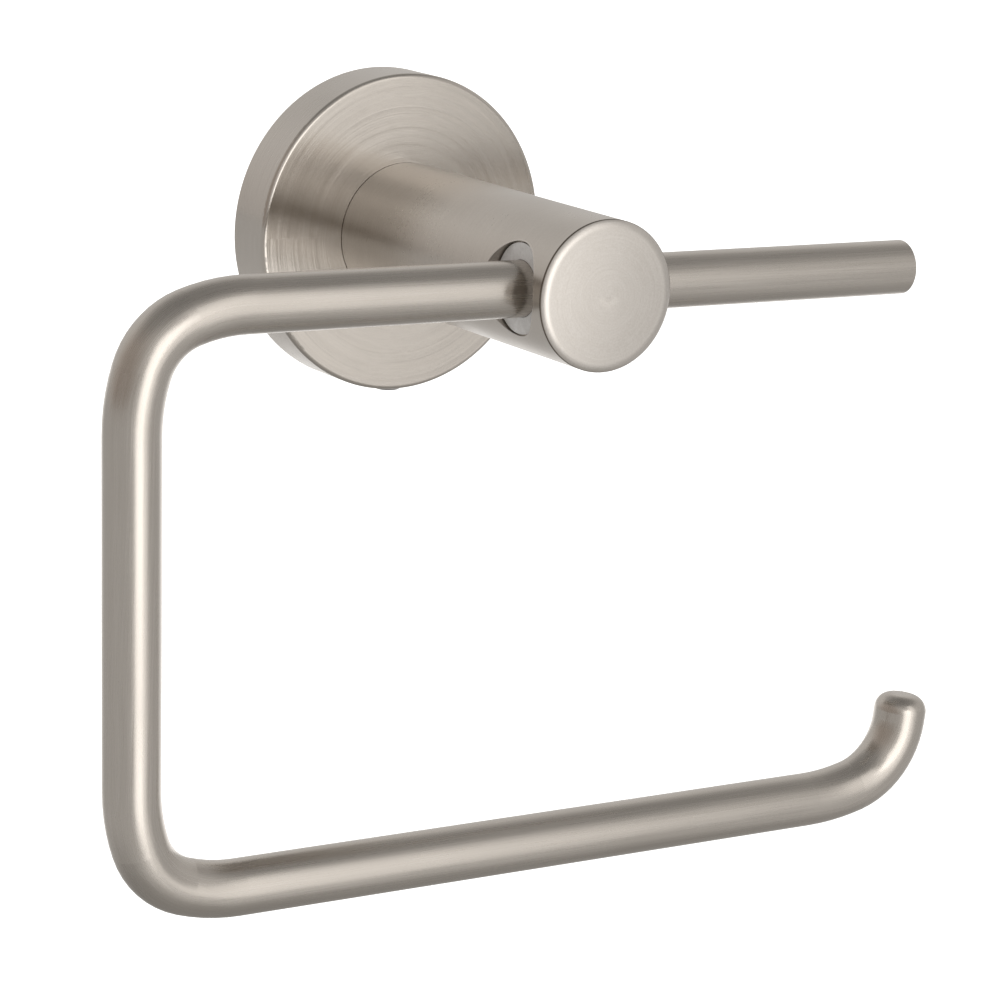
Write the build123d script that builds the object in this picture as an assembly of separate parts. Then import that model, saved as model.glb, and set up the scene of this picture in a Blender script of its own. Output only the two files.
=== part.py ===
from build123d import *
import math
import os

# Wall-mounted toilet paper holder with a pivoting open hook.  Units are millimetres.
# Origin: on the wall, in the middle of the flange.  +X runs along the bar towards its short free end,
# +Y goes into the wall, -Y comes out into the room, +Z is up.

# --- flange: a die-cast cup that covers the bracket ---
flange_radius = 28.575
flange_depth = 10.5
flange_edge_radius = 0.8
flange_front_wall = 2.0
flange_cavity_radius = 25.6

# --- post: a turned bar that carries the hook ---
post_radius = 12.75
cap_rim_distance = 76.2
cap_rim_side = 0.15
cap_edge_radius = 2.5
cap_edge_turn = 40.0
cap_crown = 0.35
cap_spigot_radius = 5.0
cap_spigot_length = 2.2
seam_chamfer = 0.15

# --- hook bar: one round rod, bent in a plane parallel to the wall ---
bar_radius = 4.7625
bar_distance = 65.9
stub_end = 69.1
left_reach = 81.1
hook_drop = 97.0
leg_lean = 1.57
corner_radius = 12.4
corner_ease_radius = 31.5
corner_ease_angle = 18.4
lower_bar_end = 56.5
tip_ease_radius = 42.0
tip_ease_angle = 14.2
tip_radius = 13.4
tip_angle = 70.0
tip_straight = 4.7
stub_end_edge = 1.0
tip_end_edge = 3.0

# --- pivot: the bar turns in two bushes, and a dog-point screw keeps it from sliding out ---
spotface_radius = 7.9
spotface_flat = 9.2
bush_radius = 5.6
bush_length = 6.0
bush_flange_radius = 7.6
bush_flange_thickness = 0.8
cross_bore_gap = 0.4
running_gap = 0.05
swing_forward = 90.0
swing_back = 15.0
stop_margin = 0.5
dog_radius = 1.5
dog_length = 2.2
dog_engagement = 1.2
groove_side_gap = 0.25
groove_floor_gap = 0.25
retainer_length = 10.0
retainer_socket = 3.0
retainer_socket_depth = 3.0

# --- wall fixing ---
bracket_rear_radius = 17.7
bracket_front_radius = 21.2
bracket_thickness = 8.0
bracket_bore_radius = 7.0
screw_offset = 13.0
screw_seat_thickness = 2.5
screw_seat_radius = 4.6
screw_head_radius = 4.2
screw_head_height = 2.8
screw_head_edge = 1.2
screw_hole_radius = 2.3
screw_shank_radius = 1.8
screw_thread_radius = 2.1
screw_length = 30.0
screw_point_length = 4.0
screw_point_radius = 0.4
cross_recess_length = 4.6
cross_recess_width = 1.1
cross_recess_depth = 1.8
hook_lug_width = 16.0
hook_lug_start = 0.8
hook_lug_end = 5.5
lug_gap = 0.3

# --- screws that hold the flange, post and bracket together ---
set_screw_radius = 2.5
set_screw_depth = 7.0
set_screw_length = 8.0
set_screw_socket = 2.5
set_screw_socket_depth = 2.5
set_screw_edge = 0.5
set_screw_tip_radius = 0.5
set_screw_boss_radius = 4.5
set_screw_boss_reach = 22.5
post_screw_radius = 3.0
post_screw_length = 16.0
post_screw_head_radius = 5.25
post_screw_head_height = 3.3
post_screw_head_edge = 2.0
post_screw_socket = 4.0
post_screw_socket_depth = 2.0
washer_radius = 5.4
washer_thickness = 1.5
washer_split = 1.2
pin_radius = 1.5
pin_length = 6.0
pin_offset = 8.5
pin_chamfer = 0.3
thread_gap = 0.05
screw_clearance = 0.2
blind_hole_room = 0.3

post_start = -flange_depth
post_end = -(cap_rim_distance - cap_rim_side)


def disc_on_wall(radius, y_from, y_to):
    """A cylinder about the Y axis between two Y positions."""
    depth = abs(y_to - y_from)
    return Pos(0, (y_from + y_to) / 2, 0) * Rot(90, 0, 0) * Cylinder(radius, depth)


def rod_along_x(radius, x_from, x_to):
    """A cylinder about the bar's own axis between two X positions."""
    length = abs(x_to - x_from)
    return Pos((x_from + x_to) / 2, -bar_distance, 0) * Rot(0, 90, 0) * Cylinder(radius, length)


def rod_along_z(radius, y, z_from, z_to):
    """A vertical cylinder at a given distance from the wall."""
    height = abs(z_to - z_from)
    return Pos(0, y, (z_from + z_to) / 2) * Cylinder(radius, height)


def hex_prism(across_flats, length):
    """A hexagonal key socket, centred on the origin, along Z."""
    return extrude(RegularPolygon(across_flats / math.sqrt(3), 6), amount=length / 2, both=True)


def circle_edges_at(shape, axis, position):
    """The circular edges that lie in one plane of a turned part."""
    circles = shape.edges().filter_by(GeomType.CIRCLE)
    return circles.filter_by_position(axis, position - 0.01, position + 0.01)


def bracket_rim_radius(y):
    """Radius of the bracket's undercut rim, which widens away from the wall."""
    share = -y / bracket_thickness
    return bracket_rear_radius + share * (bracket_front_radius - bracket_rear_radius)


def make_mounting_bracket():
    """Die-cast disc with an undercut rim, screwed to the wall through two counterbores."""
    profile = Polyline(
        (0, 0),
        (bracket_rear_radius, 0),
        (bracket_front_radius, -bracket_thickness),
        (0, -bracket_thickness),
        close=True,
    )
    disc = revolve(make_face(profile), Axis.Y)
    disc -= disc_on_wall(bracket_bore_radius, 1, -bracket_thickness - 1)
    for side in (-1, 1):
        place = Pos(0, 0, side * screw_offset)
        disc -= place * disc_on_wall(screw_hole_radius, 1, -bracket_thickness)
        disc -= place * disc_on_wall(screw_seat_radius, -screw_seat_thickness, -bracket_thickness - 1)
    return disc


def make_wall_screw():
    """Pan-head screw with a cross recess; its rolled thread stands out behind the bracket, into the wall."""
    head_top = -screw_seat_thickness - screw_head_height
    point_end = screw_length - screw_seat_thickness
    point_start = point_end - screw_point_length
    screw = disc_on_wall(screw_head_radius, -screw_seat_thickness, head_top)
    screw = fillet(circle_edges_at(screw, Axis.Y, head_top), screw_head_edge)
    screw += disc_on_wall(screw_shank_radius, -screw_seat_thickness, 1)
    screw += disc_on_wall(screw_thread_radius, 0, point_start)
    point = Cone(screw_thread_radius, screw_point_radius, screw_point_length)
    screw += Pos(0, (point_start + point_end) / 2, 0) * Rot(-90, 0, 0) * point
    for turn in (0, 90):
        slot = Box(cross_recess_length, 2 * cross_recess_depth, cross_recess_width)
        screw -= Pos(0, head_top, 0) * Rot(0, turn, 0) * slot
    return screw


def make_flange():
    """Round cup with a plain face, an inner hook at the top and a screw boss at the bottom."""
    front_inside = -(flange_depth - flange_front_wall)
    cup = disc_on_wall(flange_radius, 0, -flange_depth)
    cup = fillet(circle_edges_at(cup, Axis.Y, -flange_depth), flange_edge_radius)
    cavity = disc_on_wall(flange_cavity_radius, 1, front_inside)
    boss = rod_along_z(set_screw_boss_radius, -set_screw_depth, -flange_radius, -set_screw_boss_reach)
    boss &= disc_on_wall(flange_radius - flange_edge_radius, 0, -flange_depth + flange_edge_radius)
    cup = cup - cavity + boss + make_hook_lug()
    tapped_radius = set_screw_radius + thread_gap
    cup -= rod_along_z(tapped_radius, -set_screw_depth, -flange_radius - 1, -bracket_front_radius)
    cup -= disc_on_wall(post_screw_radius + screw_clearance, 0, -flange_depth - 1)
    cup -= Pos(0, 0, pin_offset) * disc_on_wall(pin_radius + thread_gap, 0, -flange_depth - 1)
    return cup


def make_hook_lug():
    """Ledge inside the top of the flange that hangs behind the bracket's undercut rim."""
    near_wall = -hook_lug_start
    far = -hook_lug_end
    profile = Polyline(
        (bracket_rim_radius(near_wall) + lug_gap, near_wall),
        (flange_cavity_radius + 1, near_wall),
        (flange_cavity_radius + 1, far),
        (bracket_rim_radius(far) + lug_gap, far),
        close=True,
    )
    ring = revolve(make_face(profile), Axis.Y)
    window = Pos(0, 0, flange_radius) * Box(hook_lug_width, 4 * flange_depth, flange_radius)
    return ring & window


def make_flange_set_screw():
    """Cone-point socket screw under the flange that draws it onto the bracket's undercut rim."""
    tip = -(bracket_rim_radius(-set_screw_depth - set_screw_tip_radius) + thread_gap)
    outer_end = tip - set_screw_length
    blank = rod_along_z(set_screw_radius, -set_screw_depth, outer_end, tip)
    blank = fillet(circle_edges_at(blank, Axis.Z, outer_end), set_screw_edge)
    cone_height = set_screw_radius - set_screw_tip_radius
    cone_cut = rod_along_z(set_screw_radius + 1, -set_screw_depth, tip - cone_height, tip)
    cone = Cone(set_screw_radius, set_screw_tip_radius, cone_height)
    cone_cut -= Pos(0, -set_screw_depth, tip - cone_height / 2) * cone
    blank -= cone_cut
    socket = hex_prism(set_screw_socket, 2 * set_screw_socket_depth)
    return blank - Pos(0, -set_screw_depth, outer_end) * socket


def make_post():
    """Turned post with a cross bore for the bar, flat round seats and a tapped rear hole."""
    post = disc_on_wall(post_radius, post_start, post_end)
    post = chamfer(circle_edges_at(post, Axis.Y, post_start), seam_chamfer)
    post = chamfer(circle_edges_at(post, Axis.Y, post_end), seam_chamfer)
    post -= rod_along_x(bar_radius + cross_bore_gap, -post_radius - 1, post_radius + 1)
    bush_floor = spotface_flat - bush_length
    for side in (-1, 1):
        post -= rod_along_x(spotface_radius, side * spotface_flat, side * (post_radius + 1))
        post -= rod_along_x(bush_radius, side * bush_floor, side * (post_radius + 1))
    post -= disc_on_wall(post_screw_radius + thread_gap, post_start + 1, -bar_distance)
    post -= disc_on_wall(cap_spigot_radius, post_end - 1, post_end + cap_spigot_length + blind_hole_room)
    pin_depth = pin_length - flange_front_wall + blind_hole_room
    pin_hole = disc_on_wall(pin_radius + thread_gap, post_start + 1, post_start - pin_depth)
    return post - Pos(0, 0, pin_offset) * pin_hole


def make_front_cap():
    """Slightly crowned disc whose rounded edge ends in a crisp rim, pressed into the front of the post."""
    rim_y = -cap_rim_distance
    turn = math.radians(cap_edge_turn)
    straight = post_radius - cap_edge_radius * math.sin(turn)
    edge_centre_y = rim_y + cap_edge_radius * math.cos(turn)
    face_y = edge_centre_y - cap_edge_radius
    edge_middle = (
        straight + cap_edge_radius * math.sin(turn / 2),
        edge_centre_y - cap_edge_radius * math.cos(turn / 2),
    )
    front_y = face_y - cap_crown
    crown_radius = (straight**2 + cap_crown**2) / (2 * cap_crown)
    crown_height = math.sqrt(crown_radius**2 - (straight / 2) ** 2)
    outline = [
        Line((0, post_end), (post_radius - seam_chamfer, post_end)),
        Line((post_radius - seam_chamfer, post_end), (post_radius, rim_y)),
        ThreePointArc((post_radius, rim_y), edge_middle, (straight, face_y)),
        ThreePointArc(
            (straight, face_y),
            (straight / 2, front_y + crown_radius - crown_height),
            (0, front_y),
        ),
        Line((0, front_y), (0, post_end)),
    ]
    cap = revolve(make_face(outline), Axis.Y)
    return cap + disc_on_wall(cap_spigot_radius, post_end, post_end + cap_spigot_length)


def make_post_screw():
    """Button-head socket screw that clamps the post to the flange from behind."""
    seat = -(flange_depth - flange_front_wall) + washer_thickness
    head_top = seat + post_screw_head_height
    screw = disc_on_wall(post_screw_head_radius, seat, head_top)
    screw = fillet(circle_edges_at(screw, Axis.Y, head_top), post_screw_head_edge)
    screw += disc_on_wall(post_screw_radius, seat, seat - post_screw_length)
    socket = Rot(90, 0, 0) * hex_prism(post_screw_socket, 2 * post_screw_socket_depth)
    return screw - Pos(0, head_top, 0) * socket


def make_lock_washer():
    """Split spring washer under the head of the post screw."""
    front = -(flange_depth - flange_front_wall)
    back = front + washer_thickness
    washer = disc_on_wall(washer_radius, front, back)
    washer -= disc_on_wall(post_screw_radius + screw_clearance, front - 1, back + 1)
    split = Pos(washer_radius, (front + back) / 2, 0) * Rot(0, 0, 20)
    return washer - split * Box(washer_radius, 3 * washer_thickness, washer_split)


def make_anti_turn_pin():
    """Dowel that keeps the post from turning on the flange."""
    start = -(flange_depth - flange_front_wall)
    pin = disc_on_wall(pin_radius, start, start - pin_length)
    pin = chamfer(circle_edges_at(pin, Axis.Y, start - pin_length), pin_chamfer)
    return Pos(0, 0, pin_offset) * pin


def make_pivot_bush(side):
    """Thin flanged acetal sleeve in one mouth of the cross bore; its flange fills the round seat."""
    inner = side * (spotface_flat - bush_length)
    seat = side * spotface_flat
    bush = rod_along_x(bush_radius, inner, seat)
    bush += rod_along_x(bush_flange_radius, seat, side * (spotface_flat + bush_flange_thickness))
    return bush - rod_along_x(bar_radius + running_gap, -post_radius, post_radius)


def make_retaining_screw():
    """Dog-point socket screw behind the bar; its dog runs in the bar's part-turn groove."""
    dog_tip = -(bar_distance - bar_radius) - dog_engagement
    shoulder = dog_tip + dog_length
    rear_end = shoulder + retainer_length - dog_length
    screw = disc_on_wall(post_screw_radius, shoulder, rear_end)
    screw += disc_on_wall(dog_radius, shoulder, dog_tip)
    socket = Rot(90, 0, 0) * hex_prism(retainer_socket, 2 * retainer_socket_depth)
    return screw - Pos(0, rear_end, 0) * socket


def straight_run(start, heading, length):
    """A straight run of the bar's centreline: the line and where it ends."""
    turn = math.radians(heading)
    end = (start[0] + length * math.cos(turn), start[1] + length * math.sin(turn))
    return Line(start, end), end


def bend(start, heading, steps):
    """Tangent arcs that turn left in steps of (radius, angle): the arcs, the end and the new heading."""
    arcs = []
    for radius, angle in steps:
        direction = (math.cos(math.radians(heading)), math.sin(math.radians(heading)))
        arc = JernArc(start, direction, radius, angle)
        arcs.append(arc)
        centre = (start[0] - radius * direction[1], start[1] + radius * direction[0])
        heading += angle
        start = (
            centre[0] + radius * math.sin(math.radians(heading)),
            centre[1] - radius * math.cos(math.radians(heading)),
        )
    return arcs, start, heading


def corner_steps(turn):
    """An eased corner: a gentle arc, a tight arc and a gentle arc that add up to the turn."""
    return [
        (corner_ease_radius, corner_ease_angle),
        (corner_radius, turn - 2 * corner_ease_angle),
        (corner_ease_radius, corner_ease_angle),
    ]


def setback(turn):
    """How far an eased corner starts before the point where its two straight runs would meet."""
    _, end, _ = bend((0.0, 0.0), 0.0, corner_steps(turn))
    return end[0] - end[1] / math.tan(math.radians(turn))


def hook_centreline():
    """The bar's centreline in its own plane, X across and Y up, from the free stub to the tip."""
    upper_turn = 90 + leg_lean
    lower_turn = 90 - leg_lean
    top_run = stub_end + left_reach - setback(upper_turn)
    line, at = straight_run((stub_end, 0.0), 180, top_run)
    path = [line]
    arcs, at, heading = bend(at, 180, corner_steps(upper_turn))
    path += arcs
    leg = hook_drop / math.cos(math.radians(leg_lean)) - setback(upper_turn) - setback(lower_turn)
    line, at = straight_run(at, heading, leg)
    path.append(line)
    arcs, at, heading = bend(at, heading, corner_steps(lower_turn))
    path += arcs
    line, at = straight_run(at, 0, lower_bar_end - at[0])
    path.append(line)
    arcs, at, heading = bend(at, 0, [(tip_ease_radius, tip_ease_angle), (tip_radius, tip_angle)])
    path += arcs
    line, at = straight_run(at, heading, tip_straight)
    path.append(line)
    return path


def make_bar_groove():
    """Part-turn groove for the dog; its ends stop the swing."""
    floor_radius = bar_radius - dog_engagement - groove_floor_gap
    half_width = dog_radius + groove_side_gap
    dog_reach = math.degrees(math.atan(dog_radius / (bar_radius - dog_engagement))) + stop_margin
    sweep = swing_forward + swing_back + 2 * dog_reach
    profile = Polyline(
        (-half_width, floor_radius),
        (half_width, floor_radius),
        (half_width, bar_radius + 1),
        (-half_width, bar_radius + 1),
        close=True,
    )
    groove = revolve(make_face(profile), Axis.X, sweep)
    return Pos(0, -bar_distance, 0) * Rot(-swing_back - dog_reach, 0, 0) * groove


def make_hook_bar():
    """The bent rod with rounded ends and the retaining groove."""
    path = Wire(hook_centreline())
    section = Plane(origin=(stub_end, 0, 0), z_dir=(-1, 0, 0)) * Circle(bar_radius)
    rod = sweep(section, path=path)
    stub_face, tip_face = rod.faces().filter_by(GeomType.PLANE).sort_by(Axis.Y, reverse=True)
    rod = fillet(stub_face.edges(), stub_end_edge)
    rod = fillet(tip_face.edges(), tip_end_edge)
    rod = Plane(origin=(0, -bar_distance, 0), x_dir=(1, 0, 0), z_dir=(0, -1, 0)) * rod
    return rod - make_bar_groove()


def pair_above_and_below(shape):
    """Two copies of a fastener, one above and one below the centre of the bracket."""
    return Compound([Pos(0, 0, side * screw_offset) * shape for side in (1, -1)])


nodes = {
    "mounting_bracket": make_mounting_bracket(),
    "wall_screws": pair_above_and_below(make_wall_screw()),
    "flange": make_flange(),
    "flange_set_screw": make_flange_set_screw(),
    "post": make_post(),
    "front_cap": make_front_cap(),
    "post_screw": make_post_screw(),
    "lock_washer": make_lock_washer(),
    "anti_turn_pin": make_anti_turn_pin(),
    "pivot_bushes": Compound([make_pivot_bush(side) for side in (-1, 1)]),
    "retaining_screw": make_retaining_screw(),
    "hook_bar": make_hook_bar(),
}

os.makedirs("parts", exist_ok=True)
for name, shape in nodes.items():
    export_step(shape, f"parts/{name}.step")
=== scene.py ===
import math
import bpy
from mathutils import Matrix, Vector


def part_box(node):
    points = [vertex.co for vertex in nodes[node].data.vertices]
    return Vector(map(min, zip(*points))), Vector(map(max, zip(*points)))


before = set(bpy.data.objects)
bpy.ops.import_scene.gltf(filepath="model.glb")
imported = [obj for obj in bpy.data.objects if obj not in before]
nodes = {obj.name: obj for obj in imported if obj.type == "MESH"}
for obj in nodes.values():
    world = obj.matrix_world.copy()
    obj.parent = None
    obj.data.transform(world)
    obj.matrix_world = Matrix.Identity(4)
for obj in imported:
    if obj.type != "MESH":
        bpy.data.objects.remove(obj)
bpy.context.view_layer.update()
scene = bpy.context.scene

# sizes that the materials need and the frame doesn't give, in metres
screw_head_radius = 0.0042
screw_pitch = 0.0014
tip_x = 0.0765
brush_corner = 0.0165

# places on the object that the materials follow, measured on the frame
flange_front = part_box("flange")[0][1]
post_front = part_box("post")[0][1]
hook_lo, hook_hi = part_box("hook_bar")
bar_radius = (hook_hi[1] - hook_lo[1]) / 2
lower_z = hook_lo[2] + bar_radius
left_x = hook_lo[0] + bar_radius
screw_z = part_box("wall_screws")[1][2] - screw_head_radius

# colours
NICKEL = (0.600, 0.560, 0.515, 1)
NICKEL_DARK = (0.520, 0.480, 0.435, 1)
NICKEL_LIGHT = (0.700, 0.665, 0.625, 1)
# painted shade: the dark colour laid where two nickel parts meet
SEAM_SHADE_COLOR = (0.085, 0.065, 0.045, 1)
CAST_LIGHT = (0.56, 0.57, 0.58, 1)
CAST_DARK = (0.42, 0.43, 0.44, 1)
CAST_WORN = (0.72, 0.73, 0.74, 1)
ZINC_LIGHT = (0.66, 0.67, 0.67, 1)
ZINC_DARK = (0.50, 0.51, 0.53, 1)
STEEL_LIGHT = (0.56, 0.55, 0.54, 1)
STEEL_DARK = (0.42, 0.41, 0.40, 1)
# painted shade for the thread valleys
THREAD_VALLEY_SHADE = (0.12, 0.11, 0.10, 1)
ACETAL_LIGHT = (0.95, 0.95, 0.945, 1)
ACETAL_DARK = (0.80, 0.795, 0.785, 1)
FLOOR_LIGHT = (0.64, 0.64, 0.635, 1)
FLOOR_DARK = (0.60, 0.60, 0.595, 1)
# emission colour of the painted light on the floor
FLOOR_PAINTED_LIGHT = (1, 0.998, 0.995, 1)
STRIP_COLOR = (1.0, 0.99, 0.975)
FILL_COLOR = (1.0, 0.985, 0.965)
LEFT_TINT = (0.66, 0.60, 0.56, 1)

# a quarter turn of the anisotropy
QUARTER_TURN = 0.25


# ---------------------------------------------------------------- node helpers
class Graph:
    """A small helper that adds shader nodes and joins them."""

    def __init__(self, tree):
        self.tree = tree
        self.tree.nodes.clear()

    def add(self, kind, inputs=None, **settings):
        node = self.tree.nodes.new(kind)
        for key, value in settings.items():
            setattr(node, key, value)
        for key, value in (inputs or {}).items():
            self.put(node.inputs[key], value)
        return node

    def put(self, socket, value):
        if isinstance(value, bpy.types.NodeSocket):
            self.tree.links.new(value, socket)
        else:
            socket.default_value = value

    def math(self, operation, a, b=0.0):
        return self.add("ShaderNodeMath", {0: a, 1: b}, operation=operation).outputs[0]

    def vector(self, operation, a, b=(0, 0, 0)):
        node = self.add("ShaderNodeVectorMath", {0: a, 1: b}, operation=operation)
        return node.outputs["Value" if operation in ("LENGTH", "DOT_PRODUCT") else "Vector"]

    def turned(self, vector, kind, source, target):
        """A direction or a normal, turned from one space into another."""
        settings = {"vector_type": kind, "convert_from": source, "convert_to": target}
        return self.add("ShaderNodeVectorTransform", {0: vector}, **settings).outputs[0]

    def split(self, vector):
        return self.add("ShaderNodeSeparateXYZ", {0: vector}).outputs

    def join(self, x, y, z):
        return self.add("ShaderNodeCombineXYZ", {0: x, 1: y, 2: z}).outputs[0]

    def noise(self, vector, scale, detail=3.0, rough=0.55, distortion=0.0):
        inputs = {"Vector": vector, "Scale": scale, "Detail": detail, "Roughness": rough}
        inputs["Distortion"] = distortion
        return self.add("ShaderNodeTexNoise", inputs).outputs["Fac"]

    def remap(self, value, a, b, low, high, smooth=False):
        kind = "SMOOTHSTEP" if smooth else "LINEAR"
        inputs = {"Value": value, "From Min": a, "From Max": b, "To Min": low, "To Max": high}
        return self.add("ShaderNodeMapRange", inputs, interpolation_type=kind).outputs[0]

    def mix(self, factor, a, b):
        node = self.add("ShaderNodeMix", data_type="RGBA")
        self.put(node.inputs[0], factor)
        self.put(node.inputs[6], a)
        self.put(node.inputs[7], b)
        return node.outputs[2]

    def blend(self, factor, a, b):
        node = self.add("ShaderNodeMix", data_type="FLOAT")
        self.put(node.inputs[0], factor)
        self.put(node.inputs[2], a)
        self.put(node.inputs[3], b)
        return node.outputs[0]

    def bump(self, height, strength, distance, normal=None):
        node = self.add("ShaderNodeBump", {"Height": height, "Strength": strength, "Distance": distance})
        if normal is not None:
            self.put(node.inputs["Normal"], normal)
        return node.outputs[0]

    def seam(self, y, at, width):
        """1 within the width of a band across the Y axis, fading to 0; the mask of the painted shade where
        two parts meet.
        """
        return self.remap(self.math("ABSOLUTE", self.math("SUBTRACT", y, at)), width, width * 0.6, 0.0, 1.0)

    def edge(self, width):
        """0 on the flats, rising to 1 where a corner is nearer than the width."""
        soft = self.add("ShaderNodeBevel", {"Radius": width}, samples=4).outputs[0]
        true = self.add("ShaderNodeNewGeometry").outputs["Normal"]
        same = self.vector("DOT_PRODUCT", soft, true)
        return self.remap(same, 0.995, 0.8, 0.0, 1.0)


def new_material(name):
    material = bpy.data.materials.new(name)
    material.use_nodes = True
    return material, Graph(material.node_tree)


def finish_material(g, color, roughness, normal, metallic=1.0, ior=1.5):
    """Add the shader and the output, and return the shader for any further setting."""
    shader = g.add("ShaderNodeBsdfPrincipled")
    shader.inputs["Metallic"].default_value = metallic
    shader.inputs["IOR"].default_value = ior
    g.put(shader.inputs["Base Color"], color)
    g.put(shader.inputs["Roughness"], roughness)
    g.put(shader.inputs["Normal"], normal)
    out = g.add("ShaderNodeOutputMaterial")
    g.tree.links.new(shader.outputs[0], out.inputs["Surface"])
    return shader


def brush(g, shader, tangent, anisotropic):
    """Stretch the reflections of a brushed metal across its brush lines."""
    shader.inputs["Anisotropic"].default_value = anisotropic
    shader.inputs["Anisotropic Rotation"].default_value = QUARTER_TURN
    g.put(shader.inputs["Tangent"], tangent)


def round_the_post(g):
    """The direction that runs round the post's own axis."""
    return g.add("ShaderNodeTangent", direction_type="RADIAL", axis="Y").outputs[0]


def own_place(g):
    """A point's place on the object itself, so that the marks move with the piece."""
    return g.add("ShaderNodeTexCoord").outputs["Object"]


# ---------------------------------------------------------------- nickel
def spun_flange():
    """Concentric brush lines on the face, a finer satin on the rim, both with brighter worn edges."""
    material, g = new_material("spun_nickel")
    place = own_place(g)
    x, y, z = g.split(place)
    radius = g.vector("LENGTH", g.join(x, 0.0, z))
    angle = g.math("ARCTAN2", z, x)
    facing = g.add("ShaderNodeNewGeometry").outputs["Normal"]
    local = g.turned(facing, "NORMAL", "WORLD", "OBJECT")
    on_face = g.remap(g.split(local)[1], -0.9, -0.99, 0.0, 1.0, True)
    rings = g.noise(g.join(radius, g.math("MULTIPLY", angle, 0.00012), y), 5200.0, 4.0, 0.7)
    broad = g.noise(g.join(radius, g.math("MULTIPLY", angle, 0.0006), y), 900.0, 2.0)
    rim_lines = g.noise(g.join(y, g.math("MULTIPLY", angle, 0.0004), 0.0), 4200.0, 3.0, 0.6)
    smudge = g.noise(place, 45.0, 3.0)
    lines = g.blend(on_face, rim_lines, g.blend(0.35, rings, broad))
    worn = g.edge(0.0006)
    tone = g.mix(g.remap(lines, 0.3, 0.7, 0.0, 1.0), NICKEL_DARK, NICKEL)
    tone = g.mix(g.math("MULTIPLY", worn, 0.5), tone, NICKEL_LIGHT)
    rough = g.math("ADD", g.remap(lines, 0.3, 0.7, 0.15, 0.22), g.remap(smudge, 0.35, 0.7, -0.015, 0.02))
    rough = g.blend(on_face, g.math("ADD", rough, 0.06), rough)
    rough = g.math("SUBTRACT", rough, g.math("MULTIPLY", worn, 0.05))
    ridges = g.noise(g.join(radius, g.math("MULTIPLY", angle, 0.00025), 0.0), 700.0, 2.0, 0.5)
    waves = g.bump(g.math("MULTIPLY", ridges, on_face), 1.0, 0.00005)
    normal = g.bump(lines, 0.45, 0.00005, waves)
    brush(g, finish_material(g, tone, rough, normal), round_the_post(g), 0.85)
    return material


def satin_post():
    """Turned satin: very fine rings around the post, softly uneven, with painted shade as a dark line at
    each end, where the post meets the flange and the cap.
    """
    material, g = new_material("satin_nickel_post")
    place = own_place(g)
    x, y, z = g.split(place)
    angle = g.math("ARCTAN2", z, x)
    rings = g.noise(g.join(y, g.math("MULTIPLY", angle, 0.0004), 0.0), 3800.0, 4.0, 0.65)
    grain = g.noise(place, 2600.0, 2.0)
    smudge = g.noise(place, 60.0, 3.0)
    lines = g.blend(0.4, rings, grain)
    worn = g.edge(0.0005)
    tone = g.mix(g.remap(lines, 0.3, 0.7, 0.0, 1.0), NICKEL_DARK, NICKEL)
    # painted shade: a dark line where the post meets the flange and where it meets the cap
    seam = g.math("MAXIMUM", g.seam(y, flange_front, 0.0002), g.seam(y, post_front, 0.0003))
    tone = g.mix(g.math("MULTIPLY", worn, 0.3), tone, NICKEL_LIGHT)
    tone = g.mix(g.math("MULTIPLY", seam, 0.85), tone, SEAM_SHADE_COLOR)
    rough = g.math("ADD", g.remap(lines, 0.3, 0.7, 0.27, 0.34), g.remap(smudge, 0.35, 0.7, -0.02, 0.03))
    rough = g.math("SUBTRACT", rough, g.math("MULTIPLY", worn, 0.08))
    normal = g.bump(lines, 0.2, 0.00003)
    brush(g, finish_material(g, tone, rough, normal), round_the_post(g), 0.3)
    return material


def fine_cap():
    """The end disc: a fine even satin, with faint turning marks and painted shade as a dark line where it
    meets the post.
    """
    material, g = new_material("satin_nickel_cap")
    place = own_place(g)
    x, y, z = g.split(place)
    radius = g.vector("LENGTH", g.join(x, 0.0, z))
    angle = g.math("ARCTAN2", z, x)
    rings = g.noise(g.join(radius, g.math("MULTIPLY", angle, 0.0002), y), 4600.0, 3.0, 0.6)
    grain = g.noise(place, 3400.0, 2.0)
    smudge = g.noise(place, 80.0, 3.0)
    lines = g.blend(0.55, rings, grain)
    tone = g.mix(g.remap(lines, 0.3, 0.7, 0.0, 1.0), NICKEL, NICKEL_LIGHT)
    # painted shade: a dark line where the cap meets the post
    tone = g.mix(g.math("MULTIPLY", g.seam(y, post_front, 0.00025), 0.85), tone, SEAM_SHADE_COLOR)
    rough = g.math("ADD", g.remap(lines, 0.3, 0.7, 0.33, 0.38), g.remap(smudge, 0.35, 0.7, -0.02, 0.03))
    normal = g.bump(lines, 0.14, 0.00003)
    finish_material(g, tone, rough, normal)
    return material


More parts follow.
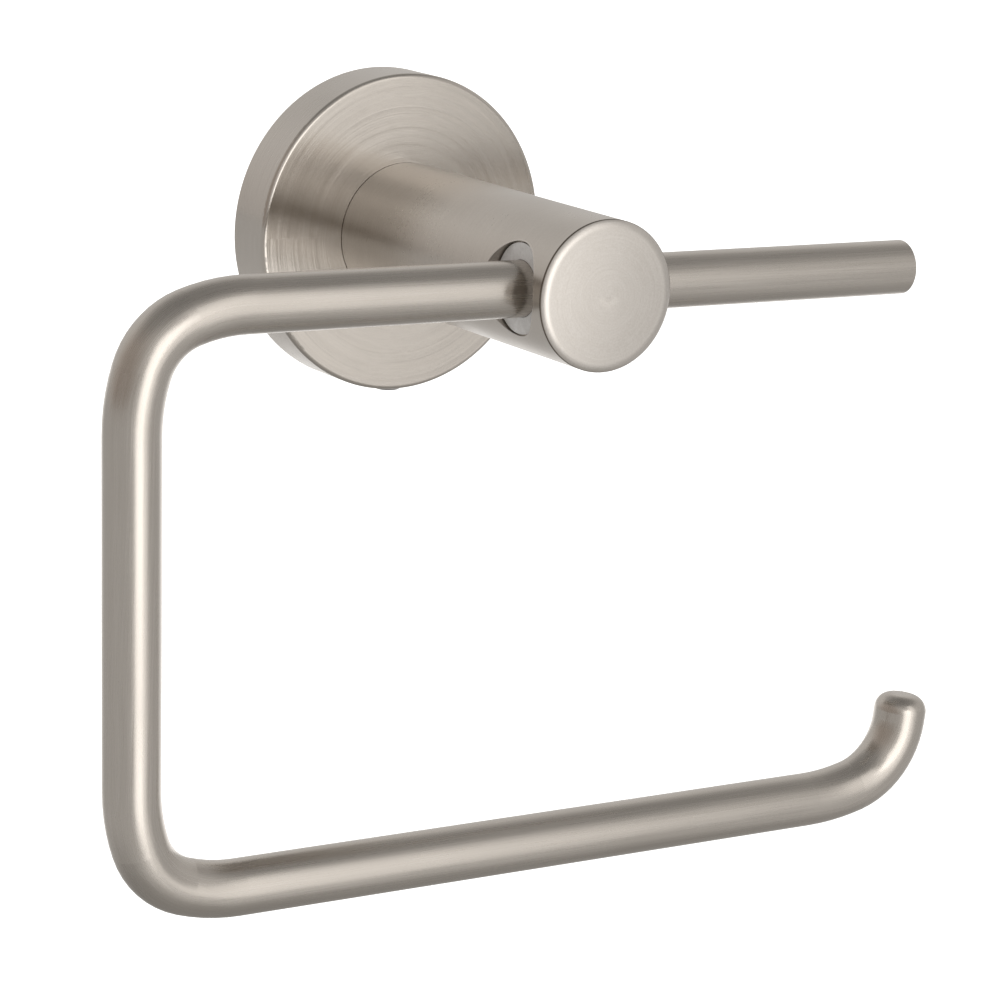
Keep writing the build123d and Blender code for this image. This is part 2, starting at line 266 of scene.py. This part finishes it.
def brushed_bar():
    """Brush lines that run along the bent bar and follow it round its corners.

    The bar's centreline is taken as a rounded rectangle from left_x to tip_x, with corners of brush_corner.
    """
    material, g = new_material("brushed_nickel_bar")
    place = own_place(g)
    x, y, z = g.split(place)
    middle_z = lower_z / 2
    lower_half = g.math("LESS_THAN", z, middle_z)
    # the top run goes straight on past the middle, so only the lower half turns a corner on the right
    near_x = g.blend(lower_half, g.math("MINIMUM", x, 0.0), x)
    mid_x = (left_x + tip_x) / 2
    half_x = (tip_x - left_x) / 2
    half_z = abs(lower_z) / 2
    dx = g.math("SUBTRACT", near_x, mid_x)
    dz = g.math("SUBTRACT", z, middle_z)
    qx = g.math("SUBTRACT", g.math("ABSOLUTE", dx), half_x - brush_corner)
    qz = g.math("SUBTRACT", g.math("ABSOLUTE", dz), half_z - brush_corner)
    ox = g.math("MAXIMUM", qx, 0.0)
    oz = g.math("MAXIMUM", qz, 0.0)
    # how far a point is from the rectangle inside those corners; each brush line keeps to one offset
    offset = g.vector("LENGTH", g.join(ox, 0.0, oz))
    gx = g.math("MULTIPLY", ox, g.math("SIGN", dx))
    gz = g.math("MULTIPLY", oz, g.math("SIGN", dz))
    along = g.vector("NORMALIZE", g.join(g.math("MULTIPLY", gz, -1.0), 0.0, gx))
    along = g.turned(along, "VECTOR", "OBJECT", "WORLD")
    travel = g.math("MULTIPLY", g.math("SUBTRACT", x, z), 0.012)
    across = g.join(offset, y, travel)
    fine = g.noise(across, 4200.0, 4.0, 0.7)
    broad = g.noise(across, 1100.0, 2.0)
    smudge = g.noise(place, 40.0, 3.0)
    lines = g.blend(0.35, fine, broad)
    worn = g.edge(0.0005)
    tone = g.mix(g.remap(lines, 0.28, 0.72, 0.0, 1.0), NICKEL_DARK, NICKEL)
    tone = g.mix(g.math("MULTIPLY", worn, 0.4), tone, NICKEL_LIGHT)
    rough = g.math("ADD", g.remap(lines, 0.3, 0.7, 0.22, 0.32), g.remap(smudge, 0.35, 0.7, -0.02, 0.03))
    normal = g.bump(lines, 0.18, 0.00003)
    brush(g, finish_material(g, tone, rough, normal), along, 0.45)
    return material


# ---------------------------------------------------------------- hidden metal and plastic
def cast_zinc():
    """Grainy die-cast skin with flow marks."""
    material, g = new_material("cast_zinc")
    place = own_place(g)
    grain = g.noise(place, 1500.0, 5.0, 0.6)
    flow = g.noise(place, 130.0, 4.0, 0.6, 1.5)
    tone = g.mix(g.remap(flow, 0.35, 0.7, 0.0, 1.0), CAST_DARK, CAST_LIGHT)
    tone = g.mix(g.math("MULTIPLY", g.edge(0.0005), 0.6), tone, CAST_WORN)
    rough = g.remap(grain, 0.3, 0.7, 0.42, 0.56)
    normal = g.bump(grain, 0.5, 0.00006, g.bump(flow, 0.3, 0.0002))
    finish_material(g, tone, rough, normal)
    return material


def wall_screw_thread():
    """Zinc-plated steel with each screw's helical thread in the bump, where the solid's shank is plain."""
    material, g = new_material("zinc_plated_thread")
    place = own_place(g)
    x, y, z = g.split(place)
    # the two screws stand at the same height above and below the middle
    side = g.math("SUBTRACT", g.math("ABSOLUTE", z), screw_z)
    angle = g.math("ARCTAN2", side, x)
    turns = g.math("ADD", g.math("DIVIDE", y, screw_pitch), g.math("DIVIDE", angle, 2 * math.pi))
    tooth = g.math("PINGPONG", turns, 0.5)
    grain = g.noise(place, 2200.0, 3.0)
    stain = g.noise(place, 260.0, 4.0)
    # painted shade: the thread valleys, which are only in the bump, are darkened as if shaded
    valley_shade = g.remap(tooth, 0.0, 0.25, 1.0, 0.0)
    tone = g.mix(g.remap(stain, 0.35, 0.7, 0.0, 1.0), ZINC_DARK, ZINC_LIGHT)
    tone = g.mix(g.math("MULTIPLY", valley_shade, 0.35), tone, THREAD_VALLEY_SHADE)
    rough = g.remap(grain, 0.3, 0.7, 0.24, 0.36)
    normal = g.bump(tooth, 0.9, screw_pitch / 2, g.bump(grain, 0.25, 0.00003))
    finish_material(g, tone, rough, normal)
    return material


def turned_steel(name, light, dark, rough_low, rough_high):
    """Plain turned or stamped steel with fine tool marks."""
    material, g = new_material(name)
    place = own_place(g)
    grain = g.noise(place, 2600.0, 4.0, 0.65)
    stain = g.noise(place, 240.0, 4.0)
    tone = g.mix(g.remap(stain, 0.35, 0.7, 0.0, 1.0), dark, light)
    rough = g.remap(grain, 0.3, 0.7, rough_low, rough_high)
    finish_material(g, tone, rough, g.bump(grain, 0.3, 0.00003))
    return material


def acetal():
    """Light grey acetal, mottled, with faint turning marks."""
    material, g = new_material("grey_acetal")
    place = own_place(g)
    rings = g.noise(g.join(g.split(place)[0], 0.0, 0.0), 5000.0, 3.0)
    grain = g.noise(place, 1800.0, 3.0)
    mottle = g.noise(place, 700.0, 4.0, 0.65, 0.6)
    tone = g.mix(g.remap(mottle, 0.35, 0.65, 0.0, 1.0), ACETAL_DARK, ACETAL_LIGHT)
    rough = g.remap(grain, 0.3, 0.7, 0.34, 0.46)
    normal = g.bump(g.blend(0.5, rings, grain), 0.3, 0.00004)
    finish_material(g, tone, rough, normal, metallic=0.0, ior=1.48)
    return material


def dress(name, material):
    """Give a CAD piece its one material."""
    mesh = nodes[name].data
    mesh.materials.clear()
    mesh.materials.append(material)


plated = turned_steel("zinc_plated_steel", ZINC_LIGHT, ZINC_DARK, 0.22, 0.34)
stainless = turned_steel("stainless_steel", STEEL_LIGHT, STEEL_DARK, 0.2, 0.3)

dress("flange", spun_flange())
dress("post", satin_post())
dress("front_cap", fine_cap())
dress("hook_bar", brushed_bar())
dress("mounting_bracket", cast_zinc())
dress("wall_screws", wall_screw_thread())
dress("post_screw", plated)
dress("lock_washer", plated)
dress("flange_set_screw", stainless)
dress("retaining_screw", stainless)
dress("anti_turn_pin", stainless)
dress("pivot_bushes", acetal())


# ---------------------------------------------------------------- floor
FLOOR_Z = -0.90
FLOOR_HALF = 30.0
# the level direction of the painted pool of light on the floor, behind the object and to its right
PAINTED_POOL_X = 0.54
PAINTED_POOL_Y = 0.84


def painted_floor_light(g, place, mottle):
    """Painted light on the floor: painted shade under the object, paler with distance, and a painted pool
    of light in a wide soft sector that fades out at a distance.
    """
    x, y, z = g.split(place)
    painted_falloff = g.remap(g.vector("LENGTH", g.join(x, y, 0.0)), 0.4, 1.5, 0.0, 0.24, True)
    ahead = g.math("ADD", g.math("MULTIPLY", x, PAINTED_POOL_X), g.math("MULTIPLY", y, PAINTED_POOL_Y))
    aside = g.math("SUBTRACT", g.math("MULTIPLY", x, PAINTED_POOL_Y), g.math("MULTIPLY", y, PAINTED_POOL_X))
    slope = g.math("DIVIDE", g.math("ABSOLUTE", aside), g.math("MAXIMUM", ahead, 0.1))
    within = g.remap(slope, 0.22, 1.3, 1.0, 0.0, True)
    # painted pool of light: a bright sector behind the object and to its right
    painted_pool = g.math("MULTIPLY", g.remap(ahead, 1.05, 1.75, 0.0, 1.0, True), within)
    painted_pool = g.math("MULTIPLY", painted_pool, g.remap(ahead, 13.0, 27.0, 1.0, 0.0, True))
    return g.math("ADD", painted_falloff, g.math("MULTIPLY", painted_pool, g.remap(mottle, 0.0, 1.0, 0.92, 0.98)))


def pale_floor():
    """A matt pale surface that glows, painting a pool of light and the shade under the object onto itself.
    """
    material, g = new_material("pale_floor")
    place = own_place(g)
    mottle = g.noise(place, 3.0, 4.0)
    grain = g.noise(place, 500.0, 3.0)
    tone = g.mix(mottle, FLOOR_DARK, FLOOR_LIGHT)
    rough = g.remap(grain, 0.3, 0.7, 0.75, 0.9)
    shader = finish_material(g, tone, rough, g.bump(grain, 0.1, 0.0002), metallic=0.0, ior=1.2)
    shader.inputs["Emission Color"].default_value = FLOOR_PAINTED_LIGHT
    # the emission paints a pool of light behind the object and painted shade under it
    g.put(shader.inputs["Emission Strength"], painted_floor_light(g, place, mottle))
    return material


def add_floor():
    """A large level sheet well below the object."""
    half = FLOOR_HALF
    corners = [(-half, -half, 0), (half, -half, 0), (half, half, 0), (-half, half, 0)]
    mesh = bpy.data.meshes.new("studio_floor")
    mesh.from_pydata(corners, [], [(0, 1, 2, 3)])
    mesh.materials.append(pale_floor())
    floor = bpy.data.objects.new("studio_floor", mesh)
    floor.location = (0, 0, FLOOR_Z)
    scene.collection.objects.link(floor)


add_floor()


# ---------------------------------------------------------------- light
PANEL_DISTANCE = 1.5
PANEL_AIM = Vector((0.0, -0.05, -0.035))


def around(azimuth, elevation, distance):
    """A place about the object: azimuth 0 is straight in front of the wall, positive to the right."""
    a = math.radians(azimuth)
    e = math.radians(elevation)
    level = distance * math.cos(e)
    return Vector((level * math.sin(a), -level * math.cos(a), distance * math.sin(e)))


def add_panel(name, azimuth, elevation, width, height, brightness, color):
    """A softbox that shows the given brightness in a mirror."""
    light = bpy.data.lights.new(name, "AREA")
    light.shape = "RECTANGLE"
    light.size = width
    light.size_y = height
    light.energy = brightness * math.pi * width * height
    light.color = color
    lamp = bpy.data.objects.new(name, light)
    place = around(azimuth, elevation, PANEL_DISTANCE)
    away = (place - PANEL_AIM).normalized()
    lamp.matrix_world = Matrix.Translation(place) @ away.to_track_quat("Z", "Y").to_matrix().to_4x4()
    lamp.visible_camera = False
    scene.collection.objects.link(lamp)


def add_world():
    """A soft room: palest halfway up, darker overhead and below, browner to the left."""
    # each stop is a place from straight down (0) to straight up (1), and the brightness there
    stops = ((0.0, 0.20), (0.30, 0.40), (0.46, 0.52), (0.62, 0.60), (0.78, 0.62), (0.90, 0.34), (1.0, 0.26))
    world = bpy.data.worlds.new("studio")
    world.use_nodes = True
    g = Graph(world.node_tree)
    x, y, z = g.split(g.add("ShaderNodeTexCoord").outputs["Generated"])
    ramp = g.add("ShaderNodeValToRGB", {0: g.remap(z, -1.0, 1.0, 0.0, 1.0)})
    elements = ramp.color_ramp.elements
    while len(elements) < len(stops):
        elements.new(0.5)
    for element, (at, value) in zip(elements, stops):
        element.position = at
        element.color = (value, value * 0.98, value * 0.955, 1)
    left_side = g.remap(x, -0.35, -0.95, 0.0, 1.0, True)
    behind = g.remap(y, 0.1, 0.7, 1.0, 1.22, True)
    tinted = g.add("ShaderNodeMix", data_type="RGBA", blend_type="MULTIPLY")
    g.put(tinted.inputs[0], left_side)
    g.put(tinted.inputs[6], ramp.outputs[0])
    g.put(tinted.inputs[7], LEFT_TINT)
    back = g.add("ShaderNodeBackground", {"Color": tinted.outputs[2], "Strength": behind})
    g.tree.links.new(back.outputs[0], g.add("ShaderNodeOutputWorld").inputs[0])
    scene.world = world


add_panel("strip", -1, -3.6, 0.74, 1.37, 1.6, STRIP_COLOR)
add_panel("fill", 20, 10, 0.70, 2.08, 0.68, FILL_COLOR)
add_world()


# ---------------------------------------------------------------- camera
CAMERA_PLACE = Vector((-0.3229755, -0.5525852, 0.0995638))
CAMERA_YAW = math.radians(32.5764)
CAMERA_PITCH = math.radians(-13.1806)
CAMERA_ROLL = math.radians(2.9076)


def add_camera():
    """Yaw turns from straight at the wall to the right, pitch is upwards, and roll is about the view."""
    camera = bpy.data.cameras.new("camera")
    camera.sensor_width = 36.0
    camera.lens = 127.973
    camera.clip_start = 0.01
    camera.clip_end = 50.0
    level = Vector((math.sin(CAMERA_YAW), math.cos(CAMERA_YAW), 0))
    forward = level * math.cos(CAMERA_PITCH) + Vector((0, 0, math.sin(CAMERA_PITCH)))
    right = Vector((math.cos(CAMERA_YAW), -math.sin(CAMERA_YAW), 0))
    top = right.cross(forward)
    right_rolled = math.cos(CAMERA_ROLL) * right + math.sin(CAMERA_ROLL) * top
    top_rolled = math.cos(CAMERA_ROLL) * top - math.sin(CAMERA_ROLL) * right
    turn = Matrix((right_rolled, top_rolled, -forward)).transposed()
    viewer = bpy.data.objects.new("camera", camera)
    viewer.matrix_world = Matrix.Translation(CAMERA_PLACE) @ turn.to_4x4()
    scene.collection.objects.link(viewer)
    scene.camera = viewer


add_camera()
scene.view_settings.view_transform = "Standard"
